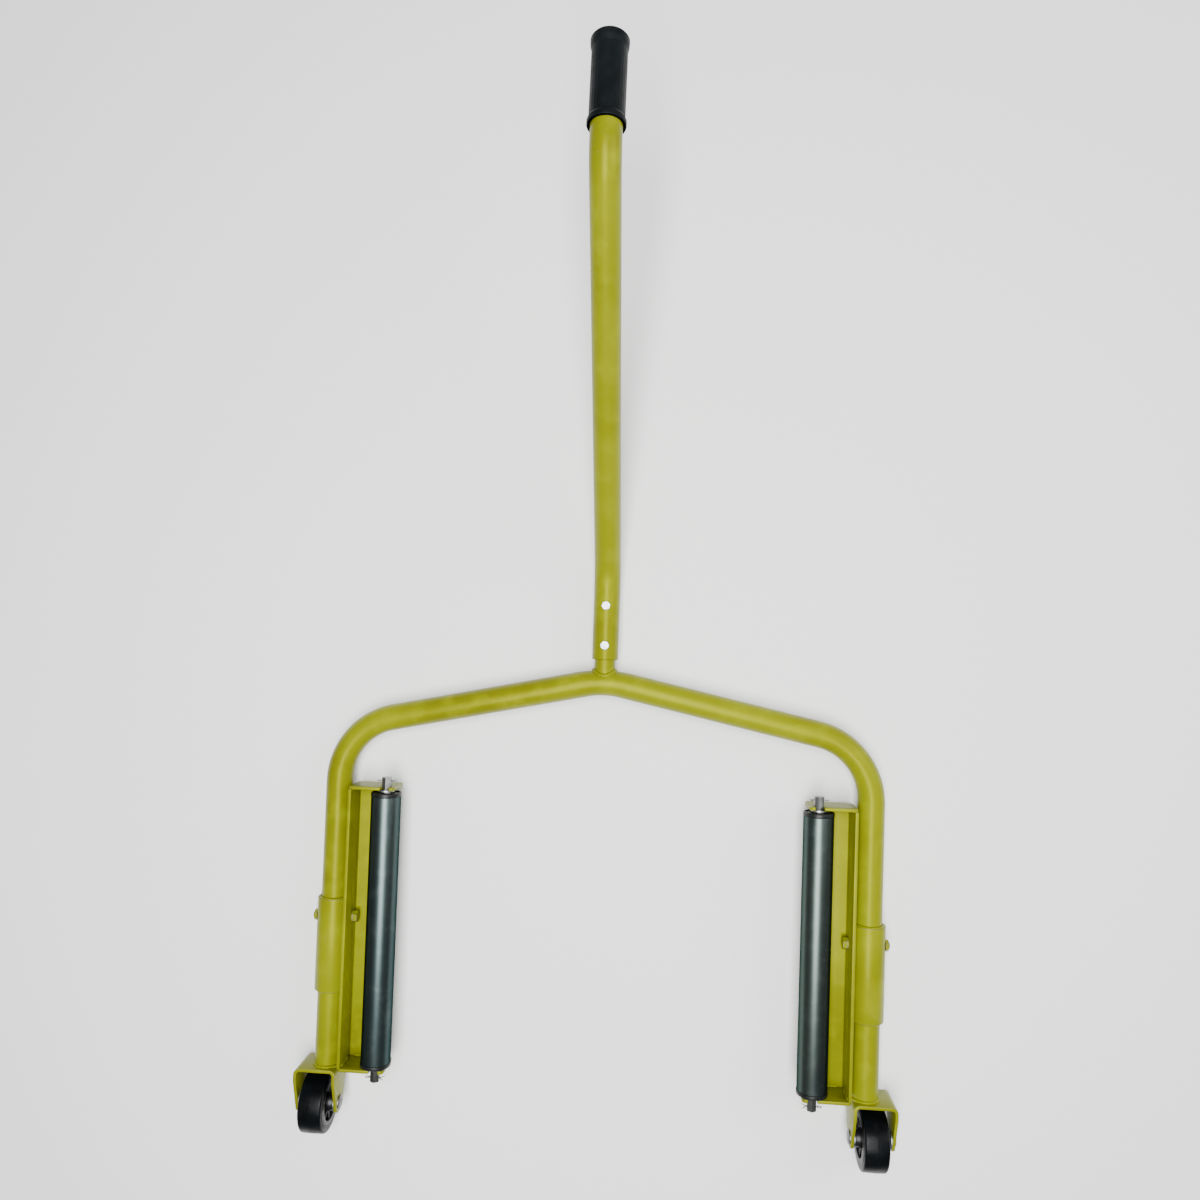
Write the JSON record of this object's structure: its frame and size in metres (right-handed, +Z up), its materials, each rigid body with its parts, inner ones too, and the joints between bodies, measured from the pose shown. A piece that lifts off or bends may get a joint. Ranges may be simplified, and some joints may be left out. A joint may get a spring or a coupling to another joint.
{
  "type": "wheel dolly",
  "caption": "Low two-wheeled dolly: a bent tube yoke with rollers along its legs cradles a truck tyre, and a cranked handle steers it.",
  "frame": {"origin": "on the floor, at the middle of the part's footprint", "axes": "+Y along the dolly towards the handle's grip, +X to the right, +Z up; the rollers face up"},
  "size_m": [0.7696, 1.2838, 0.3197],
  "materials": {
    "yellow_paint": "olive-yellow enamel, slightly glossy",
    "grip_rubber": "moulded black rubber, satin",
    "zinc_hardware": "bright zinc plate",
    "roller_zinc": "blue-passivated zinc plate, smooth",
    "shaft_steel": "cold-drawn bar, lightly oiled",
    "cap_plastic": "moulded black nylon",
    "bearing_steel": "ground bearing steel",
    "wheel_plastic": "moulded black polypropylene",
    "tyre_rubber": "solid black rubber tread"
  },
  "bodies": {
    "frame": {"yoke_tube": "yellow_paint", "handle_stub": "yellow_paint", "handle_tube": "yellow_paint", "handle_grip": "grip_rubber", "handle_bolts": "zinc_hardware", "handle_nuts": "zinc_hardware", "handle_washers": "zinc_hardware", "sleeve_right": "yellow_paint", "roller_rail_right": "yellow_paint", "upper_ear_right": "yellow_paint", "lower_ear_right": "yellow_paint", "sleeve_bolts": "yellow_paint", "sleeve_washers": "yellow_paint", "sleeve_nuts": "yellow_paint", "roller_shaft_right": "shaft_steel", "bearing_inner_right": "bearing_steel", "roller_washers": "zinc_hardware", "cotter_pins": "zinc_hardware", "fork_right": "yellow_paint", "axle_rivets": "shaft_steel", "axle_bushes": "shaft_steel", "axle_washers": "zinc_hardware", "sleeve_left": "yellow_paint", "roller_rail_left": "yellow_paint", "upper_ear_left": "yellow_paint", "lower_ear_left": "yellow_paint", "roller_shaft_left": "shaft_steel", "bearing_inner_left": "bearing_steel", "fork_left": "yellow_paint"},
    "roller_right": {"roller_tube_right": "roller_zinc", "roller_caps_right": "cap_plastic", "bearing_outer_right": "bearing_steel", "bearing_balls_right": "bearing_steel"},
    "roller_left": {"roller_tube_left": "roller_zinc", "roller_caps_left": "cap_plastic", "bearing_outer_left": "bearing_steel", "bearing_balls_left": "bearing_steel"},
    "wheel_right": {"wheel_core_right": "wheel_plastic", "tyre_right": "tyre_rubber"},
    "wheel_left": {"wheel_core_left": "wheel_plastic", "tyre_left": "tyre_rubber"}
  },
  "joints": [
    {"name": "roller_spin_right", "type": "hinge", "parent": "frame", "child": "roller_right", "pos_m": [0.276, -0.37056, 0.05239], "axis": [0, 0.9998, -0.0198], "continuous": true},
    {"name": "wheel_spin_right", "type": "hinge", "parent": "frame", "child": "wheel_right", "pos_m": [0.3545, -0.60391, 0.038], "axis": [1, 0, 0], "continuous": true},
    {"name": "roller_spin_left", "type": "hinge", "parent": "frame", "child": "roller_left", "pos_m": [-0.276, -0.37056, 0.05239], "axis": [0, 0.9998, -0.0198], "continuous": true},
    {"name": "wheel_spin_left", "type": "hinge", "parent": "frame", "child": "wheel_left", "pos_m": [-0.3545, -0.60391, 0.038], "axis": [1, 0, 0], "continuous": true}
  ]
}
